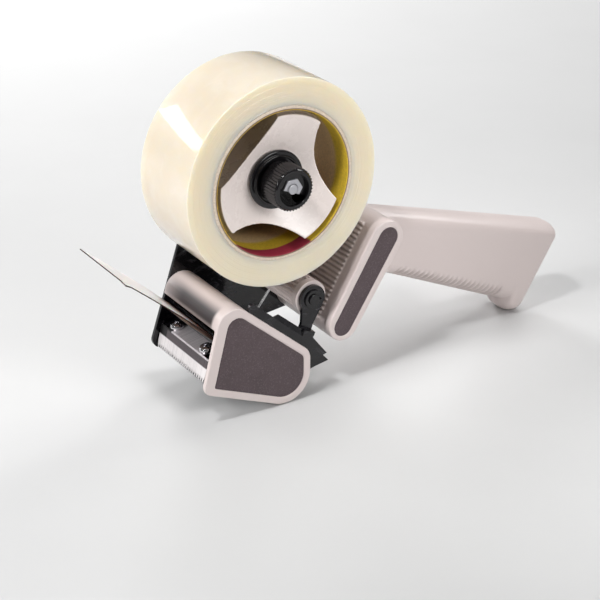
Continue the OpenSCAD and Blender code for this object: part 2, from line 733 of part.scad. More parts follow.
// Least gap of the brake spring to itself, measured on its middle line between points half a turn apart
spring_steps = 12;
spring_y0 = cavity_y + spring_wire/2 + run;
spring_y1 = flange_y - spring_wire/2 - run;
function spring_at(i, n) = let (a = 360*spring_turns*i/n)
    [spring_r*cos(a), spring_y0 + (spring_y1 - spring_y0)*i/n, spring_r*sin(a)];
spring_n = floor(spring_turns*spring_steps);
spring_gap = min([for (i = [0:spring_n], j = [i + spring_steps/2:1:spring_n])
    norm(spring_at(i, spring_n) - spring_at(j, spring_n))]) - spring_wire;
echo(spring_gap = spring_gap);

// Coil of the brake spring, swept as one tube
module brake_spring() color(bright_steel) on_hub() {
    rings = spring_n;
    sides = 6;
    pts = [for (i = [0:rings], k = [0:sides - 1])
        let (p = spring_at(i, rings), b = 360*k/sides, r = 1 + spring_wire/2*cos(b)/spring_r)
        [r*p[0], p[1] + spring_wire/2*sin(b), r*p[2]]];
    last = rings*sides;
    polyhedron(pts, concat(
        [[for (k = [0:sides - 1]) sides - 1 - k]], [[for (k = [0:sides - 1]) last + k]],
        [for (i = [0:rings - 1], k = [0:sides - 1]) let (n = (k + 1) % sides)
            let (a = i*sides, b = a + sides) each [[a + k, a + n, b + n], [a + k, b + n, b + k]]]));
}

// Roll

module tape_core() color([0.76, 0.6, 0.42]) on_hub() difference() {
    bar([0, 0], core_r + core_wall, -tape_y, tape_y);
    bar([0, 0], core_r, -tape_w, tape_w);
}

module tape_roll() color([0.9, 0.85, 0.72]) on_hub() difference() {
    bar([0, 0], tape_r, -tape_y, tape_y);
    bar([0, 0], film_r, -tape_w, tape_w);
}

far_side_plate();
near_side_plate();
handle();
neck_inset();
head_cover();
cheek_inset();
blade_holder();
cutter_blade();
blade_screws();
wiper_flap();
wiper_leaf();
wiper_clamp();
guide_roller();
guide_axle();
axle_clip();
press_roller();
roller_sleeve();
roller_axle();
tie_rods();
cover_screws();
frame_screws();
spindle();
hub();
hub_bush();
friction_ring();
brake_flange();
brake_spring();
brake_knob();
brake_nut();
tape_core();
tape_roll();
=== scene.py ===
import math

import bmesh
import bpy
import numpy as np
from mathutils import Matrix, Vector


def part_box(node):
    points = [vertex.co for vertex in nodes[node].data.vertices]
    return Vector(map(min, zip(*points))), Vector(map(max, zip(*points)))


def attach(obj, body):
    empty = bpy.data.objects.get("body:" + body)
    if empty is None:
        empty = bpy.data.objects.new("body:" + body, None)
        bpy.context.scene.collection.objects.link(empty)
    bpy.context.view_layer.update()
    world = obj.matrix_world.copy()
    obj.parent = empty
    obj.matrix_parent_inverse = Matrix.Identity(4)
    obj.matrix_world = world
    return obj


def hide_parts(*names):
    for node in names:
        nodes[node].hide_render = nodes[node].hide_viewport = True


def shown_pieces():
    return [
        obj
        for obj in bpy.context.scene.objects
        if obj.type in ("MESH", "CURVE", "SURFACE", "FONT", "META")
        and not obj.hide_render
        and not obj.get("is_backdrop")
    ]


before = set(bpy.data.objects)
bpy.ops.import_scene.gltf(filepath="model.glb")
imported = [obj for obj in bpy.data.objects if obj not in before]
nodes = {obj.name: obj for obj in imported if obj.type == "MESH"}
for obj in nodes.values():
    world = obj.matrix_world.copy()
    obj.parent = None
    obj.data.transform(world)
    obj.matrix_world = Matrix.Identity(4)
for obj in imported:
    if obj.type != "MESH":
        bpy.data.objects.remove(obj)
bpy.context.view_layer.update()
scene = bpy.context.scene
mm = 0.001
acrossTape = Vector((0, 1, 0))      # from the near side to the far side


def middle(name):
    low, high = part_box(name)
    return (low + high) / 2


hubAxis = middle("tape_roll")       # the hub turns about a line along Y through here
rollerAxis = middle("roller_sleeve")
headTilt = math.radians(22.7)


def headPoint(ahead, across, above):
    # a place in the head's own frame, in mm: ahead along the foot's slope, across the tape, above the slope
    return Vector((rollerAxis.x + (ahead * math.cos(headTilt) + above * math.sin(headTilt)) * mm,
                   rollerAxis.y + across * mm,
                   rollerAxis.z + (above * math.cos(headTilt) - ahead * math.sin(headTilt)) * mm))


# shader helpers: each adds one or a few nodes and gives back the socket that comes out

def addNode(tree, kind, **settings):
    made = tree.nodes.new(kind)
    for key, value in settings.items():
        setattr(made, key, value)
    return made


def feed(value, target):
    # another node's socket is linked, a plain number, tone or direction is set
    if isinstance(value, bpy.types.NodeSocket):
        target.id_data.links.new(value, target)
    elif target.type == "RGBA":
        target.default_value = (*value, 1)
    else:
        target.default_value = value


def setInputs(made, **values):
    for key, value in values.items():
        feed(value, made.inputs[key.replace("_", " ")])
    return made


def maths(tree, operation, *values):
    made = addNode(tree, "ShaderNodeMath", operation=operation)
    for value, target in zip(values, made.inputs):
        feed(value, target)
    return made.outputs["Value"]


def vectors(tree, operation, *values):
    made = addNode(tree, "ShaderNodeVectorMath", operation=operation)
    for value, target in zip(values, made.inputs):
        feed(value, target)
    return made.outputs["Value" if operation in ("LENGTH", "DOT_PRODUCT") else "Vector"]


def spanned(tree, value, low=0.0, high=1.0, bottom=0.0, top=1.0, smooth=False):
    # bottom at low and top at high, held beyond them
    made = addNode(tree, "ShaderNodeMapRange", interpolation_type="SMOOTHSTEP" if smooth else "LINEAR")
    setInputs(made, Value=value, From_Min=low, From_Max=high, To_Min=bottom, To_Max=top)
    return made.outputs["Result"]


def blended(tree, share, first, second, kind="RGBA", mode="MIX"):
    made = addNode(tree, "ShaderNodeMix", data_type=kind, blend_type=mode)
    return setInputs(made, Factor=share, A=first, B=second).outputs["Result"]


def noise(tree, place, scale, detail=2.0, rough=0.5, warp=0.0):
    made = addNode(tree, "ShaderNodeTexNoise")
    setInputs(made, Vector=place, Scale=scale, Detail=detail, Roughness=rough, Distortion=warp)
    return made.outputs["Fac"]


def split(tree, place):
    return setInputs(addNode(tree, "ShaderNodeSeparateXYZ"), Vector=place).outputs


def onPiece(tree):
    return addNode(tree, "ShaderNodeTexCoord").outputs["Object"]


def seenRays(tree):
    return addNode(tree, "ShaderNodeLightPath").outputs["Is Camera Ray"]


def fromPlace(tree, origin):
    # the place on the piece, counted from a point of the frame
    return vectors(tree, "SUBTRACT", onPiece(tree), origin)


def radiusFrom(tree, centre):
    # the place counted from centre, its distance from the hub's line and its place along it, in metres
    place = fromPlace(tree, centre)
    parts = split(tree, place)
    flat = setInputs(addNode(tree, "ShaderNodeCombineXYZ"), X=parts["X"], Y=parts["Z"])
    return place, vectors(tree, "LENGTH", flat.outputs["Vector"]), parts["Y"]


def alongMask(tree, place, way, low, high):
    # 0 at low and 1 at high, both in mm along a direction
    return spanned(tree, vectors(tree, "DOT_PRODUCT", place, way), low * mm, high * mm, smooth=True)


def stripeMask(tree, place, way, pitch):
    # 0 on each rib and 1 in each groove, counted from the rib at the place's origin
    turns = vectors(tree, "DOT_PRODUCT", place, way * (2 * math.pi / (pitch * mm)))
    return maths(tree, "MULTIPLY_ADD", maths(tree, "COSINE", turns), -0.5, 0.5)


def allMasks(tree, masks, strength):
    whole = masks[0]
    for mask in masks[1:]:
        whole = maths(tree, "MULTIPLY", whole, mask)
    return maths(tree, "MULTIPLY", whole, strength)


# camera, light and room

view = {"place": (-0.49056, -0.7244, 0.4613), "azimuth": 32.5, "elevation": 25.98, "lens": 108, "sensor": 36,
        "reach": 20}

camera = bpy.data.cameras.new("camera")
camera.lens = view["lens"]
camera.sensor_width = view["sensor"]
camera.clip_end = view["reach"]
cameraObject = bpy.data.objects.new("camera", camera)
cameraObject.location = view["place"]
cameraObject.rotation_euler = (math.radians(90 - view["elevation"]), 0, math.radians(-view["azimuth"]))
scene.collection.objects.link(cameraObject)
scene.camera = cameraObject

# each lamp stands far metres from its aim, spread degrees wide
usual = {"aim": (-0.02, 0, 0.08), "far": 1.2, "spread": 180, "glossy": True}
studio = {
    "leftLow": {"towards": (-0.906, 0.0, 0.423), "size": (0.2, 0.2), "power": 6.0},
    "leftMid": {"towards": (-0.704, -0.062, 0.707), "size": (0.14, 0.14), "power": 2.4},
    "leftHigh": {"towards": (-0.461, -0.150, 0.875), "size": (0.12, 0.12), "power": 5.0},
    "backLow": {"towards": (0.19, 0.887, 0.42), "size": (0.4, 0.3), "power": 8.0, "glossy": False},
    "rightBack": {"towards": (0.663, 0.383, 0.643), "size": (0.3, 0.3), "power": 3.4},
    "frontCard": {"towards": (0.26, -0.93, 0.26), "size": (0.25, 0.25), "power": 0.26, "far": 0.6, "spread": 60,
                  "aim": (-0.04, 0, 0.11)},
    "backLeft": {"towards": (-0.52, 0.76, 0.36), "size": (0.5, 0.2), "power": 2.0},
    "gripStrip": {"towards": (0.71, 0.11, 0.69), "size": (0.25, 0.25), "power": 0.09, "far": 0.7, "spread": 40,
                  "aim": (0.09, -0.01, 0.075)},
}
for name, changes in studio.items():
    lamp = {**usual, **changes}
    light = bpy.data.lights.new(name, "AREA")
    light.shape = "RECTANGLE"
    light.size, light.size_y = lamp["size"]
    light.energy = lamp["power"]
    light.spread = math.radians(lamp["spread"])
    lightObject = bpy.data.objects.new(name, light)
    way = Vector(lamp["towards"]).normalized()
    lightObject.location = Vector(lamp["aim"]) + way * lamp["far"]
    lightObject.rotation_euler = way.to_track_quat("Z", "Y").to_euler()
    lightObject.visible_camera = False
    lightObject.visible_glossy = lamp["glossy"]
    scene.collection.objects.link(lightObject)

# the room's light is dim near the horizon and stronger overhead; what is seen of it is as pale as the floor
roomLook = {"rise": (0.05, 0.6), "light": (0.06, 0.16), "seen": 0.8}
world = bpy.data.worlds.new("studioRoom")
world.use_nodes = True
room = world.node_tree
skyHeight = split(room, addNode(room, "ShaderNodeTexCoord").outputs["Generated"])["Z"]
skyLight = spanned(room, skyHeight, *roomLook["rise"], *roomLook["light"])
setInputs(room.nodes["Background"], Color=(1, 1, 1),
          Strength=blended(room, seenRays(room), skyLight, roomLook["seen"], kind="FLOAT"))
scene.world = world
scene.view_settings.view_transform = "Standard"

floorLook = {"half": 3.0, "tone": (0.63, 0.63, 0.63), "second": (0.62, 0.62, 0.62), "rough": (0.7, 0.8),
             "grain": 900.0, "bump": 0.02, "shine": 0.2, "fade": (0.6, 1.5), "far": 0.7}
reach = floorLook["half"]
floorMesh = bpy.data.meshes.new("floor")
floorMesh.from_pydata([(-reach, -reach, 0), (reach, -reach, 0), (reach, reach, 0), (-reach, reach, 0)], [],
                      [(0, 1, 2, 3)])
floor = bpy.data.objects.new("floor", floorMesh)
scene.collection.objects.link(floor)
floor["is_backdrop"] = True
print("camera, light and floor made")


# shared effects

def newGroup(name, inputs, outputs):
    group = bpy.data.node_groups.new(name, "ShaderNodeTree")
    for label, kind, value in inputs:
        made = group.interface.new_socket(name=label, in_out="INPUT", socket_type=kind)
        made.default_value = value
    for label, kind in outputs:
        group.interface.new_socket(name=label, in_out="OUTPUT", socket_type=kind)
    return group, group.nodes.new("NodeGroupInput").outputs, group.nodes.new("NodeGroupOutput")


skinSockets = [("Color", "NodeSocketColor"), ("Roughness", "NodeSocketFloat"), ("Height", "NodeSocketFloat")]
# a noise is its scale, detail, roughness and warp, a span the part of it that is used,
# and a relief its strength and its depth; depths are in mm
skinLook = {"drift": (3.0, 0.55), "driftSpan": (0.3, 0.7), "rubs": (60.0, 6.0, 0.7), "rubSpan": (0.35, 0.65),
            "depth": 0.05}
lineLook = {"lines": (1.0, 4.0, 0.6), "span": (0.3, 0.7), "depth": 0.02}


def makeMoulding():
    # fine grain of a moulded skin, slow drift of tone and faint rub marks
    group, given, out = newGroup(
        "mouldedSkin",
        [("Tone", "NodeSocketColor", (0.5, 0.5, 0.5, 1)), ("Second Tone", "NodeSocketColor", (0.4, 0.4, 0.4, 1)),
         ("Grain Scale", "NodeSocketFloat", 2500.0), ("Drift Scale", "NodeSocketFloat", 14.0),
         ("Rough Low", "NodeSocketFloat", 0.3), ("Rough High", "NodeSocketFloat", 0.45)], skinSockets)
    place = onPiece(group)
    drift = noise(group, place, given["Drift Scale"], *skinLook["drift"])
    rubs = noise(group, place, *skinLook["rubs"])
    share = spanned(group, drift, *skinLook["driftSpan"])
    setInputs(out, Color=blended(group, share, given["Tone"], given["Second Tone"]),
              Roughness=spanned(group, rubs, *skinLook["rubSpan"], given["Rough Low"], given["Rough High"]),
              Height=noise(group, place, given["Grain Scale"]))
    return group


def makeBrushing():
    # fine lines of a drawn or ground metal, stretched along one direction
    group, given, out = newGroup(
        "brushedLines",
        [("Tone", "NodeSocketColor", (0.6, 0.6, 0.6, 1)), ("Second Tone", "NodeSocketColor", (0.5, 0.5, 0.5, 1)),
         ("Stretch", "NodeSocketVector", (4000.0, 60.0, 4000.0)),
         ("Rough Low", "NodeSocketFloat", 0.2), ("Rough High", "NodeSocketFloat", 0.38)], skinSockets)
    lines = noise(group, vectors(group, "MULTIPLY", onPiece(group), given["Stretch"]), *lineLook["lines"])
    spread = spanned(group, lines, *lineLook["span"])
    setInputs(out, Color=blended(group, spread, given["Tone"], given["Second Tone"]), Height=lines,
              Roughness=spanned(group, spread, bottom=given["Rough Low"], top=given["Rough High"]))
    return group


mouldedSkin = makeMoulding()
brushedLines = makeBrushing()
finish = {}     # every material by its name


def newMaterial(name, **plain):
    material = bpy.data.materials.new(name)
    material.use_nodes = True
    setInputs(material.node_tree.nodes["Principled BSDF"], **plain)
    finish[name] = material
    return material.node_tree


def placeGroup(tree, group, look, **values):
    made = addNode(tree, "ShaderNodeGroup", node_tree=group)
    setInputs(made, Tone=look["tone"], Second_Tone=look["second"], Rough_Low=look["rough"][0],
              Rough_High=look["rough"][1], **values)
    return made.outputs


def surface(tree, tone, rough, height, bump, depth):
    # what the nodes make goes to the material's own shader; depth of the relief in mm
    relief = setInputs(addNode(tree, "ShaderNodeBump"), Strength=bump, Distance=depth * mm, Height=height)
    shader = setInputs(tree.nodes["Principled BSDF"], Base_Color=tone, Normal=relief.outputs["Normal"])
    if rough is not None:
        feed(rough, shader.inputs["Roughness"])


def mouldedTree(name, look, **plain):
    tree = newMaterial(name, Specular_IOR_Level=look.get("shine", 0.5), **plain)
    return tree, placeGroup(tree, mouldedSkin, look, Grain_Scale=look["grain"])


def mouldedMaterial(name, look, **plain):
    tree, skin = mouldedTree(name, look, **plain)
    surface(tree, skin["Color"], skin["Roughness"], skin["Height"], look["bump"], skinLook["depth"])
    return tree


def metalMaterial(name, look):
    tree = newMaterial(name, Metallic=1.0)
    lines = placeGroup(tree, brushedLines, look, Stretch=look["stretch"])
    surface(tree, lines["Color"], lines["Roughness"], lines["Height"], look["bump"], lineLook["depth"])


beigeLook = {"tone": (0.70, 0.61, 0.59), "second": (0.69, 0.60, 0.58), "rough": (0.29, 0.32), "grain": 2600.0,
             "bump": 0.12, "shine": 0.55}
mouldings = {
    "beigeMoulding": beigeLook,
    "blackMoulding": {"tone": (0.005, 0.0045, 0.0055), "second": (0.009, 0.008, 0.009), "rough": (0.09, 0.18),
                      "grain": 1800.0, "bump": 0.08},
    "blackRubber": {"tone": (0.02, 0.019, 0.018), "second": (0.032, 0.03, 0.028), "rough": (0.55, 0.75),
                    "grain": 1600.0, "bump": 0.35},
    "brownRubber": {"tone": (0.060, 0.030, 0.018), "second": (0.10, 0.052, 0.03), "rough": (0.40, 0.6),
                    "grain": 1500.0, "bump": 0.25},
    "feltRing": {"tone": (0.09, 0.065, 0.045), "second": (0.14, 0.10, 0.07), "rough": (0.8, 0.95),
                 "grain": 1400.0, "bump": 0.6},
    "flapEdge": {"tone": (0.03, 0.015, 0.012), "second": (0.05, 0.025, 0.02), "rough": (0.5, 0.7),
                 "grain": 900.0, "bump": 0.2, "shine": 0.15},
}
metals = {
    "bronzeBush": {"tone": (0.50, 0.34, 0.16), "second": (0.42, 0.28, 0.12), "rough": (0.3, 0.5),
                   "stretch": (600.0, 600.0, 600.0), "bump": 0.2},
    "turnedSteel": {"tone": (0.62, 0.61, 0.62), "second": (0.52, 0.51, 0.52), "rough": (0.18, 0.3),
                    "stretch": (300.0, 5000.0, 300.0), "bump": 0.12},
    "brightPlate": {"tone": (0.74, 0.73, 0.75), "second": (0.68, 0.67, 0.69), "rough": (0.08, 0.18),
                    "stretch": (900.0, 900.0, 900.0), "bump": 0.06},
}
for name, look in mouldings.items():
    mouldedMaterial(name, look)
for name, look in metals.items():
    metalMaterial(name, look)
print("shared materials made")


# materials of single pieces

def makeFloorPaper():
    # the sweep of paper runs out pale, past the reach of the lamps
    tree = mouldedMaterial("floorPaper", floorLook, Emission_Strength=1.0)
    finish["floorPaper"].cycles.emission_sampling = "NONE"
    away = vectors(tree, "LENGTH", onPiece(tree))
    fade = spanned(tree, away, *floorLook["fade"], top=floorLook["far"], smooth=True)
    setInputs(tree.nodes["Principled BSDF"], Emission_Color=maths(tree, "MULTIPLY", fade, seenRays(tree)))


makeFloorPaper()
floorMesh.materials.append(finish["floorPaper"])

enamelLook = {"tone": (0.006, 0.0055, 0.007), "smudgeAndSheen": (0.036, 0.034, 0.039), "lean": (1.0, 1.0, 2.4),
              "smears": (70.0, 5.0, 0.62, 1.6), "between": (0.52, 0.74), "rough": (0.10, 0.34), "waves": 110.0,
              "relief": (0.5, 0.12)}


def makeEnamel():
    # glossy black enamel over thin sheet steel, handled: its gloss and its tone vary in smears, and the paler tone
    # of the smears is partly painted sheen
    tree = newMaterial("blackEnamel", Coat_Weight=0.25, Coat_Roughness=0.05, Specular_IOR_Level=0.3)
    place = onPiece(tree)
    smears = noise(tree, vectors(tree, "MULTIPLY", place, enamelLook["lean"]), *enamelLook["smears"])
    smudgeAndSheenMask = spanned(tree, smears, *enamelLook["between"])
    # the paler tone is partly real handling marks and partly painted sheen
    surface(tree, blended(tree, smudgeAndSheenMask, enamelLook["tone"], enamelLook["smudgeAndSheen"]),
            spanned(tree, smudgeAndSheenMask, 0.0, 1.0, *enamelLook["rough"]), noise(tree, place, enamelLook["waves"]),
            *enamelLook["relief"])


filmLook = {"pale": (0.76, 0.68, 0.56), "deep": (0.70, 0.605, 0.47), "haze": (0.80, 0.74, 0.66),
            "wound": (0.85, 0.75, 0.57), "layer": 5200.0, "rough": (0.16, 0.34), "ends": (23.4, 23.7),
            "clouds": 26.0, "ringShare": 0.45, "deepSpan": (0.5, 1.0), "patches": (75.0, 4.0, 0.6, 0.8),
            "hazeSpan": (0.45, 0.7), "hazeMost": 0.35, "endMost": 0.75, "relief": (0.25, 0.04)}


def makeFilm():
    # wound clear film: rings on the end faces, soft patches of haze all over
    tree = newMaterial("woundFilm", Coat_Weight=0.7, Coat_Roughness=0.05, IOR=1.47, Specular_IOR_Level=0.12,
                       Subsurface_Weight=0.7, Subsurface_Scale=0.014, Subsurface_Radius=(1.0, 0.8, 0.5))
    place, radius, along = radiusFrom(tree, hubAxis)
    layers = addNode(tree, "ShaderNodeTexNoise", noise_dimensions="1D")
    setInputs(layers, W=maths(tree, "MULTIPLY", radius, filmLook["layer"]), Scale=1.0, Detail=3.0)
    rings = layers.outputs["Fac"]
    depth = maths(tree, "MULTIPLY_ADD", rings, filmLook["ringShare"], noise(tree, place, filmLook["clouds"]))
    tone = blended(tree, spanned(tree, depth, *filmLook["deepSpan"]), filmLook["pale"], filmLook["deep"])
    patches = noise(tree, place, *filmLook["patches"])
    hazy = spanned(tree, patches, *filmLook["hazeSpan"], top=filmLook["hazeMost"])
    tone = blended(tree, hazy, tone, filmLook["haze"])
    low, high = filmLook["ends"]
    onEnd = spanned(tree, maths(tree, "ABSOLUTE", along), low * mm, high * mm, top=filmLook["endMost"])
    surface(tree, blended(tree, onEnd, tone, filmLook["wound"]), spanned(tree, rings, 0.0, 1.0, *filmLook["rough"]),
            rings, *filmLook["relief"])


# bands: share of the tube's length from the loading edge; radii and places along the tube in mm
coreLook = {"inside": (0.78, 0.54, 0.27), "ochre": (0.76, 0.52, 0.035), "maroon": (0.26, 0.014, 0.034),
            "card": (0.74, 0.62, 0.50), "brim": (0.20, 0.12, 0.075), "labelAt": -101.0, "labelHalf": 36.0,
            "bands": [(0.0, "maroon"), (0.17, "maroon"), (0.19, "ochre"), (0.36, "ochre"), (0.42, "inside"),
                      (1.0, "inside")],
            "narrower": 0.16, "half": 24.0, "edge": (-15.0, -14.5), "wall": (38.4, 38.6), "brimAt": (38.9, 39.3),
            "labelSoft": 0.02, "fibres": (900.0, 5.0, 0.7), "flecks": (0.35, 0.7, 0.8, 1.12),
            "relief": (0.3, 0.05)}


def makeCard():
    # plain card tube: a maroon and an ochre band by the loading edge, bare card on the ends
    tree = newMaterial("cardTube", Roughness=0.62)
    place, radius, along = radiusFrom(tree, hubAxis)

    def between(value, key):
        low, high = coreLook[key]
        return spanned(tree, value, low * mm, high * mm)

    ramp = addNode(tree, "ShaderNodeValToRGB")
    stops = ramp.color_ramp.elements
    first, *inner, last = coreLook["bands"]
    for stop, (at, key) in zip(stops, (first, last)):
        stop.position, stop.color = at, (*coreLook[key], 1)
    for at, key in inner:
        stops.new(at).color = (*coreLook[key], 1)
    parts = split(tree, place)
    turn = maths(tree, "ARCTAN2", parts["Z"], parts["X"])
    turn = maths(tree, "SUBTRACT", turn, math.radians(coreLook["labelAt"]))
    half, soft = math.radians(coreLook["labelHalf"]), coreLook["labelSoft"]
    besideLabel = spanned(tree, maths(tree, "ABSOLUTE", turn), half - soft, half + soft)
    lengthShare = spanned(tree, along, -coreLook["half"] * mm, coreLook["half"] * mm)
    feed(maths(tree, "MULTIPLY_ADD", besideLabel, coreLook["narrower"], lengthShare), ramp.inputs["Fac"])
    byEdge = maths(tree, "SUBTRACT", 1.0, between(along, "edge"))
    inside = blended(tree, maths(tree, "MULTIPLY", byEdge, besideLabel), ramp.outputs["Color"], coreLook["ochre"])
    cardEnd = blended(tree, between(radius, "brimAt"), coreLook["brim"], coreLook["card"])
    tone = blended(tree, between(radius, "wall"), inside, cardEnd)
    fibres = noise(tree, place, *coreLook["fibres"])
    flecks = spanned(tree, fibres, *coreLook["flecks"])
    surface(tree, blended(tree, 1.0, tone, flecks, mode="MULTIPLY"), None, fibres, *coreLook["relief"])


hubLook = {"tone": (0.85, 0.76, 0.72), "second": (0.84, 0.75, 0.71), "rough": (0.26, 0.285), "grain": 2600.0,
           "bump": 0.12, "shine": 0.55, "hollowShade": (0.24, 0.215, 0.225), "square": 0.35, "face": 0.75, "lobe": 37.4}


def makeHub():
    # painted shade darkens the hollows between the lobes; their faces and ends keep the plain tone
    tree, skin = mouldedTree("hubMoulding", hubLook)
    facing = split(tree, addNode(tree, "ShaderNodeNewGeometry").outputs["Normal"])["Y"]
    flank = spanned(tree, maths(tree, "ABSOLUTE", facing), hubLook["square"], hubLook["face"], 1.0, 0.0)
    radius = radiusFrom(tree, hubAxis)[1]
    hollow = spanned(tree, radius, hubLook["lobe"] * mm, (hubLook["lobe"] - 1.0) * mm)
    # painted shade: the flanks of the hollows take the dark tone
    paintedShade = allMasks(tree, [flank, hollow], 1.0)
    surface(tree, blended(tree, paintedShade, skin["Color"], hubLook["hollowShade"]), skin["Roughness"], skin["Height"],
            hubLook["bump"], skinLook["depth"])


panelLook = {"tone": (0.088, 0.063, 0.069), "fleck": (0.135, 0.102, 0.11), "dark": (0.079, 0.057, 0.062),
             "rough": (0.45, 0.7), "pebbles": (1500.0, 2.0, 0.6), "fleckSpan": (0.52, 0.72),
             "clouds": (120.0, 3.0), "cloudSpan": (0.35, 0.6), "relief": (0.5, 0.12)}


def makePanel():
    # dark inlay sheet with a pebbled, flecked face
    tree = newMaterial("flecked", Specular_IOR_Level=0.35)
    place = onPiece(tree)
    pebbles = noise(tree, place, *panelLook["pebbles"])
    lift = spanned(tree, noise(tree, place, *panelLook["clouds"]), *panelLook["cloudSpan"])
    ground = blended(tree, lift, panelLook["dark"], panelLook["tone"])
    flecked = spanned(tree, pebbles, *panelLook["fleckSpan"])
    surface(tree, blended(tree, flecked, ground, panelLook["fleck"]),
            spanned(tree, pebbles, 0.0, 1.0, *panelLook["rough"]), pebbles, *panelLook["relief"])


nutLook = {"tone": (0.50, 0.50, 0.53), "speck": (0.42, 0.42, 0.45), "rough": (0.32, 0.5), "metal": 0.55,
           "specks": (1400.0, 3.0, 0.7), "speckSpan": (0.5, 0.72), "relief": (0.4, 0.05)}


def makeNut():
    # plated nut with a coarse, speckled face
    tree = newMaterial("platedNut", Metallic=nutLook["metal"])
    specks = noise(tree, onPiece(tree), *nutLook["specks"])
    mask = spanned(tree, specks, *nutLook["speckSpan"])
    surface(tree, blended(tree, mask, nutLook["tone"], nutLook["speck"]),
            spanned(tree, mask, 0.0, 1.0, *nutLook["rough"]), specks, *nutLook["relief"])


aheadWay = (headPoint(1, 0, 0) - rollerAxis) / mm
aboveWay = (headPoint(0, 0, 1) - rollerAxis) / mm
# painted shade on the nose: its tone and strength, the roughness there, and the bands in the head's frame where it
# lies, in mm
noseLook = {"shade": (0.045, 0.04, 0.045), "strength": 0.96, "dull": 0.5,
            "bands": [(aheadWay, -44.0, -51.0), (aboveWay, 17.5, 21.0), (aboveWay, 31.5, 25.0),
                      (acrossTape, -25.2, -22.5), (acrossTape, 38.0, 6.0)]}


def makeCover():
    # the beige moulding again, its nose front painted darker as shade and dulled there
    tree, skin = mouldedTree("noseShadeMoulding", beigeLook)
    place = fromPlace(tree, rollerAxis)
    # painted shade: a dark band across the front of the nose
    noseShade = allMasks(tree, [alongMask(tree, place, *band) for band in noseLook["bands"]], noseLook["strength"])
    surface(tree, blended(tree, noseShade, skin["Color"], noseLook["shade"]),
            blended(tree, noseShade, skin["Roughness"], noseLook["dull"], kind="FLOAT"), skin["Height"],
            beigeLook["bump"], skinLook["depth"])


# the grip's lower edge runs from start to end, in mm from the hub's line and the floor
gripRibs = {"start": (77.0, 59.0), "end": (160.0, 18.0), "radii": (12.0, 9.0), "count": 22, "first": 0.1,
            "span": 0.8, "deep": 1.1, "low": 3.2, "high": 7.6}
grooveLook = {"grooveShade": (0.22, 0.18, 0.16), "neck": 0.62, "grip": 0.28, "neckFoot": (35.1, 34.8), "lean": 30.4,
              "pitch": 2.6, "firstRib": -2.35, "face": 9.3, "faceSoft": (0.6, 0.1), "edge": -17.0, "edgeSoft": 1.0,
              "ends": (0.6, 0.4)}


def gripLine():
    # the grip's lower edge in its side view: its start, its direction, its length and the way out of it
    start, end = np.array(gripRibs["start"]), np.array(gripRibs["end"])
    way = end - start
    length = np.hypot(*way)
    along = way / length
    lean = math.acos((gripRibs["radii"][0] - gripRibs["radii"][1]) / length)
    outward = np.array((along[0] * math.cos(lean) + along[1] * math.sin(lean),
                        along[1] * math.cos(lean) - along[0] * math.sin(lean)))
    return start, along, length, outward


def neckGrooves(tree):
    lean = math.radians(grooveLook["lean"])
    up = Vector((math.sin(lean), 0, math.cos(lean)))
    out = Vector((-math.cos(lean), 0, math.sin(lean)))
    foot = Vector((hubAxis.x + grooveLook["neckFoot"][0] * mm, hubAxis.y, grooveLook["neckFoot"][1] * mm))
    place = fromPlace(tree, foot + up * (grooveLook["firstRib"] * mm))
    onFace = [grooveLook["face"] - soft for soft in grooveLook["faceSoft"]]
    edge, soft = grooveLook["edge"], grooveLook["edgeSoft"]
    return allMasks(tree, [stripeMask(tree, place, up, grooveLook["pitch"]),
                           alongMask(tree, place, out, *onFace),
                           alongMask(tree, place, acrossTape, edge - soft, edge + soft)], grooveLook["neck"])


def gripGrooves(tree):
    start, along, length, outward = gripLine()
    first = start + along * (gripRibs["first"] * length)
    place = fromPlace(tree, Vector((hubAxis.x + first[0] * mm, hubAxis.y, first[1] * mm)))
    thinner = gripRibs["radii"][1] - gripRibs["radii"][0]
    inward = along * (thinner / length) - outward
    radius = gripRibs["radii"][0] + thinner * gripRibs["first"]
    way = Vector((along[0], 0, along[1]))
    count = gripRibs["count"]
    pitch = gripRibs["span"] * length / (count - 1)
    outer, inner = grooveLook["ends"]
    return allMasks(tree, [stripeMask(tree, place, way, pitch),
                           alongMask(tree, place, Vector((inward[0], 0, inward[1])), gripRibs["high"] - radius,
                                     gripRibs["low"] - radius),
                           alongMask(tree, place, way, -outer * pitch, -inner * pitch),
                           alongMask(tree, place, way, (count - inner) * pitch, (count - outer) * pitch)],
                    grooveLook["grip"])


def makeHandle():
    # the beige moulding again, with painted shade in the grooves of the neck and of the grip
    tree, skin = mouldedTree("groovedMoulding", beigeLook)
    # painted shade: the grooves of the neck and of the grip take the dark tone
    paintedShade = maths(tree, "MAXIMUM", neckGrooves(tree), gripGrooves(tree))
    surface(tree, blended(tree, paintedShade, skin["Color"], grooveLook["grooveShade"]), skin["Roughness"], skin["Height"],
            beigeLook["bump"], skinLook["depth"])


# bend: ahead and above in the head's frame; root: where the teeth begin below the bend, in mm
bladeLook = {"tone": (0.80, 0.76, 0.78), "second": (0.50, 0.46, 0.48), "rough": (0.26, 0.42),
             "stretch": (8.0, 2600.0, 8.0), "lip": (0.092, 0.075, 0.082), "tooth": (0.80, 0.76, 0.76),
             "scored": (0.55, 0.52, 0.53), "black": (0.008, 0.007, 0.008), "bend": (-45.8, 1.1), "lean": 8.6,
             "root": 4.6, "edge": 0.5, "metal": (0.45, 0.1), "headHalf": 3.2, "blackFrom": (-2.5, 1.5),
             "blackSoft": 0.2, "bendSoft": (-0.3, 0.2), "scoreSpan": (0.52, 0.68), "bump": 0.12, "arm": 1000}


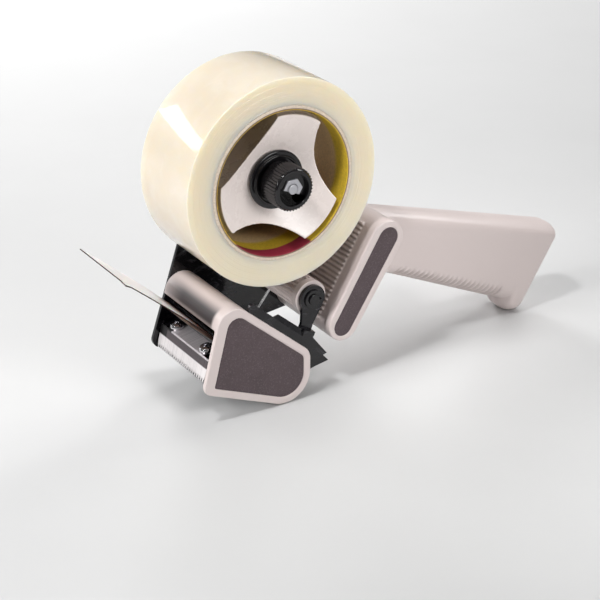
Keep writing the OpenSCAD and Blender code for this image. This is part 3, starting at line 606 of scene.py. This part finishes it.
def makeBlade():
    # brushed strip: bright face under the screws, lip painted dark as shade, ground teeth, black at its far end
    tree = newMaterial("brushedBlade")
    lines = placeGroup(tree, brushedLines, bladeLook, Stretch=bladeLook["stretch"])
    ahead, above = bladeLook["bend"]
    bend = headPoint(ahead, 0, above)
    lean = math.radians(bladeLook["lean"])
    arm = bladeLook["arm"]
    down = headPoint(ahead + arm * math.sin(lean), 0, above - arm * math.cos(lean)) - bend
    fall = vectors(tree, "DOT_PRODUCT", fromPlace(tree, bend), down.normalized())
    onLip = spanned(tree, fall, *(at * mm for at in bladeLook["bendSoft"]))
    onTeeth = spanned(tree, fall, (bladeLook["root"] - bladeLook["edge"]) * mm, bladeLook["root"] * mm)
    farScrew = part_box("blade_screws")[1].y - bladeLook["headHalf"] * mm
    fromScrew = fromPlace(tree, Vector((0, farScrew, 0)))
    soft = bladeLook["blackSoft"]
    onFarEnd = [alongMask(tree, fromScrew, acrossTape, at - soft, at + soft) for at in bladeLook["blackFrom"]]
    shelf = blended(tree, onFarEnd[0], lines["Color"], bladeLook["black"])
    # painted shade: the lip below the bend takes a dark tone
    lip = blended(tree, onFarEnd[1], bladeLook["lip"], bladeLook["black"])
    strip = blended(tree, onLip, shelf, lip)
    scored = spanned(tree, lines["Height"], *bladeLook["scoreSpan"])
    teeth = blended(tree, scored, bladeLook["tooth"], bladeLook["scored"])
    setInputs(tree.nodes["Principled BSDF"], Metallic=spanned(tree, onTeeth, 0.0, 1.0, *bladeLook["metal"]))
    surface(tree, blended(tree, onTeeth, strip, teeth), lines["Roughness"], lines["Height"], bladeLook["bump"],
            lineLook["depth"])


# root: ahead and above in the head's frame, all in mm; rise and curl in degrees
flapForm = {"root": (-42.7, 11.5), "rise": 19.9, "curl": -2.2, "length": 70.0, "thick": 0.6, "half": 24.0,
            "start": 3.0, "skin": 0.06, "trim": (0.05, 0.12), "ragged": 0.25, "tear": 1.6, "tornLanes": 5,
            "tearLeast": 0.4, "droop": 0.9, "droopOver": (0.94, 0.06), "steps": 70, "lanes": 60, "seed": 11}
flapLook = {"pale": (0.83, 0.80, 0.785), "root": (0.13, 0.062, 0.035), "from": 12.0, "to": 34.0, "smear": 8.0,
            "wayTo": 60, "borderFrom": (12.0, 46.0), "border": (4.2, 1.0), "borderSoft": 0.25, "tip": (1.2, 0.7),
            "stains": (180.0, 4.0), "relief": (0.15, 0.1)}


def flapPoint(length, across, up):
    # a place on the flap: mm along it from its root, across it, and up from its lower face
    turn = math.radians(flapForm["rise"] + flapForm["curl"] * (length / flapForm["length"] - 0.5))
    return headPoint(flapForm["root"][0] - length * math.cos(turn) + up * math.sin(turn), across,
                     flapForm["root"][1] + length * math.sin(turn) + up * math.cos(turn))


def makeFlap():
    # pale sheet that turns brown towards its root, with a dark near edge and tip; the near edge band widens towards
    # the root, partly as painted shadow
    tree = newMaterial("paleSheet", Roughness=0.28, Subsurface_Weight=0.2, Subsurface_Scale=0.002)
    place = fromPlace(tree, headPoint(flapForm["root"][0], 0, flapForm["root"][1]))
    way = (flapPoint(flapLook["wayTo"], 0, 0) - flapPoint(0, 0, 0)).normalized()
    reach = vectors(tree, "DOT_PRODUCT", place, way)
    stains = noise(tree, onPiece(tree), *flapLook["stains"])
    smeared = maths(tree, "MULTIPLY_ADD", stains, flapLook["smear"] * mm, reach)
    tone = blended(tree, spanned(tree, smeared, flapLook["from"] * mm, flapLook["to"] * mm), flapLook["root"],
                   flapLook["pale"])
    # the dark band along the near edge is the sheet's edge and, where it widens towards the root, partly painted
    # shadow
    border = spanned(tree, reach, *(at * mm for at in flapLook["borderFrom"] + flapLook["border"]))
    beyond = maths(tree, "SUBTRACT", split(tree, place)["Y"], border)
    half, soft = flapForm["half"], flapLook["borderSoft"]
    nearEdge = spanned(tree, beyond, (soft - half) * mm, (-soft - half) * mm)
    tipEdge = spanned(tree, reach, *((flapForm["length"] - at) * mm for at in flapLook["tip"]))
    edges = maths(tree, "MAXIMUM", nearEdge, tipEdge)
    surface(tree, blended(tree, edges, tone, mouldings["flapEdge"]["tone"]), None, stains,
            *flapLook["relief"])


for make in (makeHub, makeFilm, makeBlade, makeFlap, makeEnamel, makeNut, makeCover, makeHandle, makeCard,
             makePanel):
    make()
print("piece materials made")


# shared mesh helpers

def linkPiece(name, mesh):
    piece = bpy.data.objects.new(name, mesh)
    scene.collection.objects.link(piece)
    return piece


def builtMesh(name, built):
    mesh = bpy.data.meshes.new(name)
    built.to_mesh(mesh)
    built.free()
    return mesh


def vertexPlaces(mesh):
    places = np.empty(len(mesh.vertices) * 3)
    mesh.vertices.foreach_get("co", places)
    return places.reshape(-1, 3)


def coat(piece, material):
    piece.data.materials.clear()
    piece.data.materials.append(finish[material])
    for face in piece.data.polygons:
        face.use_smooth = True


def dress(piece, body, material, stands):
    coat(piece, material)
    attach(piece, body)
    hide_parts(stands)
    return piece


def softCopy(source, name, voxel, rounds):
    # the CAD piece again, its edges rounded as a mould leaves them
    start = linkPiece(name + "Start", nodes[source].data.copy())
    remesh = start.modifiers.new("remesh", "REMESH")
    remesh.mode = "VOXEL"
    remesh.voxel_size = voxel
    smooth = start.modifiers.new("smooth", "SMOOTH")
    smooth.factor = 0.5
    smooth.iterations = rounds
    mesh = bpy.data.meshes.new_from_object(start.evaluated_get(bpy.context.evaluated_depsgraph_get()))
    mesh.name = name
    old = start.data
    bpy.data.objects.remove(start)
    bpy.data.meshes.remove(old)
    return linkPiece(name, mesh)


def latheMesh(name, profile, centre, steps):
    # a closed ring turned about the Y line through centre; profile is (radius, place along Y) pairs
    built = bmesh.new()
    rings = []
    for radius, along in profile:
        turns = [2 * math.pi * step / steps for step in range(steps)]
        rings.append([built.verts.new((centre[0] + radius * math.cos(turn), centre[1] + along,
                                       centre[2] + radius * math.sin(turn))) for turn in turns])
    for index, first in enumerate(rings):
        second = rings[(index + 1) % len(rings)]
        for step in range(steps):
            after = (step + 1) % steps
            built.faces.new((first[step], first[after], second[after], second[step]))
    bmesh.ops.recalc_face_normals(built, faces=built.faces)
    return builtMesh(name, built)


edgeForm = {"weld": 0.002, "flat": 0.5, "segments": 2, "angle": 35, "panel": 0.3}     # mm and degrees


def breakEdges(piece, width):
    if width:
        bevel = piece.modifiers.new("bevel", "BEVEL")
        bevel.width = width * mm
        bevel.segments = edgeForm["segments"]
        bevel.limit_method = "ANGLE"
        bevel.angle_limit = math.radians(edgeForm["angle"])
    normals = piece.modifiers.new("normals", "WEIGHTED_NORMAL")
    normals.keep_sharp = True


# cheek panel

def makeCheekPanel():
    # the inlay lies flat over the heads of its screws
    built = bmesh.new()
    for vertex in nodes["cheek_inset"].data.vertices:
        built.verts.new(vertex.co)
    bmesh.ops.remove_doubles(built, verts=built.verts, dist=edgeForm["weld"] * mm)
    bmesh.ops.convex_hull(built, input=built.verts)
    bmesh.ops.delete(built, geom=[vertex for vertex in built.verts if not vertex.link_faces], context="VERTS")
    bmesh.ops.dissolve_limit(built, angle_limit=math.radians(edgeForm["flat"]), verts=built.verts,
                             edges=built.edges)
    piece = linkPiece("cheekPanel", builtMesh("cheekPanel", built))
    breakEdges(dress(piece, "frame", "flecked", "cheek_inset"), edgeForm["panel"])


makeCheekPanel()
print("cheek panel made")


# moulded pieces

def ribGrip(piece):
    # finger grooves along the underside of the grip, which fade out up its sides
    start, along, length, outward = gripLine()
    mesh = piece.data
    places = vertexPlaces(mesh)
    normals = np.empty(len(mesh.vertices) * 3)
    mesh.vertex_normals.foreach_get("vector", normals)
    normals = normals.reshape(-1, 3)
    flat = np.stack(((places[:, 0] - hubAxis.x) / mm, places[:, 2] / mm), 1) - start
    share = flat @ along / length
    radius = gripRibs["radii"][0] + (gripRibs["radii"][1] - gripRibs["radii"][0]) * share
    height = radius - flat @ outward
    phase = (share - gripRibs["first"]) / gripRibs["span"] * (gripRibs["count"] - 1)
    groove = 0.5 - 0.5 * np.cos(2 * math.pi * phase)
    groove *= np.clip((gripRibs["high"] - height) / (gripRibs["high"] - gripRibs["low"]), 0, 1)
    inside = (phase > -0.5) & (phase < gripRibs["count"] - 0.5)
    places -= normals * (groove * inside * gripRibs["deep"] * mm)[:, None]
    mesh.vertices.foreach_set("co", places.ravel())
    mesh.update()


moulded = {
    "softHandle": {"node": "handle", "body": "frame", "finish": "groovedMoulding", "voxel": 0.44, "rounds": 4},
    "softCover": {"node": "head_cover", "body": "frame", "finish": "noseShadeMoulding", "voxel": 0.45, "rounds": 5},
    "softHub": {"node": "hub", "body": "hub", "finish": "hubMoulding", "voxel": 0.45, "rounds": 3},
}
for name, form in moulded.items():
    piece = softCopy(form["node"], name, form["voxel"] * mm, form["rounds"])
    dress(piece, form["body"], form["finish"], form["node"])
    if form["node"] == "handle":
        ribGrip(piece)
    print("moulded piece made", name, len(piece.data.polygons))


# wiper flap

def flapLayer(built, up, torn):
    # one face of the sheet, lane by lane, its near tip torn and drooping
    lanes, steps, start = flapForm["lanes"], flapForm["steps"], flapForm["start"]
    half = flapForm["half"] - flapForm["trim"][0]
    droopFrom, droopOver = flapForm["droopOver"]
    rows = []
    for lane in range(lanes + 1):
        across = -half + 2 * half * lane / lanes
        corner = max(0.0, 1 - lane / flapForm["tornLanes"])
        tip = flapForm["length"] - flapForm["trim"][1] - flapForm["ragged"] * torn[lane]
        tip -= flapForm["tear"] * corner * (flapForm["tearLeast"] + torn[lane])
        row = []
        for step in range(steps + 1):
            share = step / steps
            place = flapPoint(start + (tip - start) * share, across, up)
            place.z -= flapForm["droop"] * corner * max(0.0, share - droopFrom) / droopOver * mm
            row.append(built.verts.new(place))
        rows.append(row)
    return rows


def makeWiper():
    # thin sheet with a torn corner at its near tip
    lanes, steps = flapForm["lanes"], flapForm["steps"]
    torn = np.random.default_rng(flapForm["seed"]).random(lanes + 1)
    built = bmesh.new()
    under = flapLayer(built, flapForm["skin"], torn)
    over = flapLayer(built, flapForm["thick"] - flapForm["skin"], torn)
    for lane in range(lanes):
        for step in range(steps):
            for sheet, order in ((over, (0, 1, 2, 3)), (under, (0, 3, 2, 1))):
                corners = (sheet[lane][step], sheet[lane + 1][step], sheet[lane + 1][step + 1],
                           sheet[lane][step + 1])
                built.faces.new([corners[index] for index in order])
    rim = [(0, step) for step in range(steps)] + [(lane, steps) for lane in range(lanes)]
    rim += [(lanes, step) for step in range(steps, 0, -1)] + [(lane, 0) for lane in range(lanes, 0, -1)]
    for (lane, step), (nextLane, nextStep) in zip(rim, rim[1:] + rim[:1]):
        face = built.faces.new((under[lane][step], over[lane][step], over[nextLane][nextStep],
                                under[nextLane][nextStep]))
        face.material_index = 1
    bmesh.ops.recalc_face_normals(built, faces=built.faces)
    mesh = builtMesh("wiperSheet", built)
    onRim = [face.material_index for face in mesh.polygons]
    dress(linkPiece("wiperSheet", mesh), "wiper", "paleSheet", "wiper_flap")
    mesh.materials.append(finish["flapEdge"])
    mesh.polygons.foreach_set("material_index", onRim)
    for face in mesh.polygons:
        face.use_smooth = face.material_index == 0
    mesh.update()


makeWiper()
print("wiper flap made")


# roll of film and its card tube

# lengths in mm, corner in radians; each layer that is sunkAt past a multiple of every lies step deeper
rollForm = {"steps": 288, "layers": 70, "gap": 0.05, "inset": 0.02, "round": 0.5, "corner": (0.35, 0.8, 1.2, 1.57),
            "cornerHigh": 0.48, "wander": 0.09, "step": 0.12, "every": 17, "sunkAt": 5, "seed": 7}
coreForm = {"steps": 240, "wall": 2.5, "soft": 0.35, "chamfer": 0.3}


def ringSize(node):
    low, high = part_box(node)
    return (high.x - low.x) / 2, (high.y - low.y) / 2


def makeRoll():
    # end faces a little uneven from layer to layer, with a rounded outer corner
    outer, half = ringSize("tape_roll")
    inner = ringSize("tape_core")[0] + rollForm["gap"] * mm
    rounded = rollForm["round"] * mm
    rng = np.random.default_rng(rollForm["seed"])
    face = []
    for layer in range(rollForm["layers"] + 1):
        radius = inner + (outer - inner - rounded) * layer / rollForm["layers"]
        sunk = rollForm["step"] * mm if layer % rollForm["every"] == rollForm["sunkAt"] else 0
        face.append((radius, half - rollForm["inset"] * mm - rollForm["wander"] * mm * rng.random() - sunk))
    high = rollForm["cornerHigh"] * mm
    corner = [(outer - rounded + rounded * math.sin(turn), half - rounded + high * math.cos(turn))
              for turn in rollForm["corner"]]
    near = [(radius, -along) for radius, along in face + corner]
    profile = near + [(outer, 0.0)] + [(radius, -along) for radius, along in reversed(near)]
    mesh = latheMesh("filmRoll", profile, hubAxis, rollForm["steps"])
    dress(linkPiece("filmRoll", mesh), "roll", "woundFilm", "tape_roll")


def makeCore():
    outer, half = ringSize("tape_core")
    inner = outer - coreForm["wall"] * mm
    soft = coreForm["soft"] * mm
    cut = soft * coreForm["chamfer"]
    near = [(inner, -half + soft), (inner + cut, -half + cut), (inner + soft, -half),
            (outer - soft, -half), (outer - cut, -half + cut), (outer, -half + soft)]
    far = [(radius, -along) for radius, along in reversed(near)]
    mesh = latheMesh("cardCore", near + far, hubAxis, coreForm["steps"])
    dress(linkPiece("cardCore", mesh), "roll", "cardTube", "tape_core")


makeRoll()
makeCore()
print("roll and core made")


# pieces that keep their CAD mesh, each with the width of its broken edges in mm

kept = {
    "far_side_plate": (0.35, "blackEnamel"), "near_side_plate": (0.35, "blackEnamel"),
    "neck_inset": (0.25, "flecked"), "blade_holder": (0.25, "blackEnamel"),
    "cutter_blade": (0.0, "brushedBlade"), "blade_screws": (0.12, "brightPlate"),
    "wiper_leaf": (0.2, "brownRubber"), "wiper_clamp": (0.25, "blackEnamel"),
    "guide_roller": (0.25, "beigeMoulding"), "guide_axle": (0.2, "blackMoulding"),
    "axle_clip": (0.1, "blackMoulding"), "press_roller": (0.3, "blackMoulding"),
    "roller_sleeve": (0.6, "blackRubber"), "roller_axle": (0.3, "turnedSteel"),
    "tie_rods": (0.2, "turnedSteel"), "cover_screws": (0.1, "blackMoulding"),
    "frame_screws": (0.15, "brightPlate"), "spindle": (0.15, "platedNut"), "hub_bush": (0.1, "bronzeBush"),
    "friction_ring": (0.1, "feltRing"), "brake_flange": (0.35, "blackMoulding"),
    "brake_spring": (0.0, "turnedSteel"), "brake_knob": (0.12, "blackMoulding"), "brake_nut": (0.25, "platedNut"),
}


def keepNode(name, width, material):
    # a CAD node as it is, with its edges broken and its round faces smooth
    piece = nodes[name]
    weld = piece.modifiers.new("weld", "WELD")
    weld.merge_threshold = edgeForm["weld"] * mm
    flatten = piece.modifiers.new("flatten", "DECIMATE")
    flatten.decimate_type = "DISSOLVE"
    flatten.angle_limit = math.radians(edgeForm["flat"])
    breakEdges(piece, width)
    coat(piece, material)


for name, (width, material) in kept.items():
    keepNode(name, width, material)
print("kept pieces dressed", len(kept))


def visualBounds():
    low, high = [math.inf] * 3, [-math.inf] * 3
    graph = bpy.context.evaluated_depsgraph_get()
    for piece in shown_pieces():
        shown = piece.evaluated_get(graph)
        places = vertexPlaces(shown.to_mesh())
        places = places @ np.array(shown.matrix_world.to_3x3()).T + np.array(shown.matrix_world.translation)
        low = np.minimum(low, places.min(0))
        high = np.maximum(high, places.max(0))
        shown.to_mesh_clear()
    return low, high


visualLow, visualHigh = visualBounds()
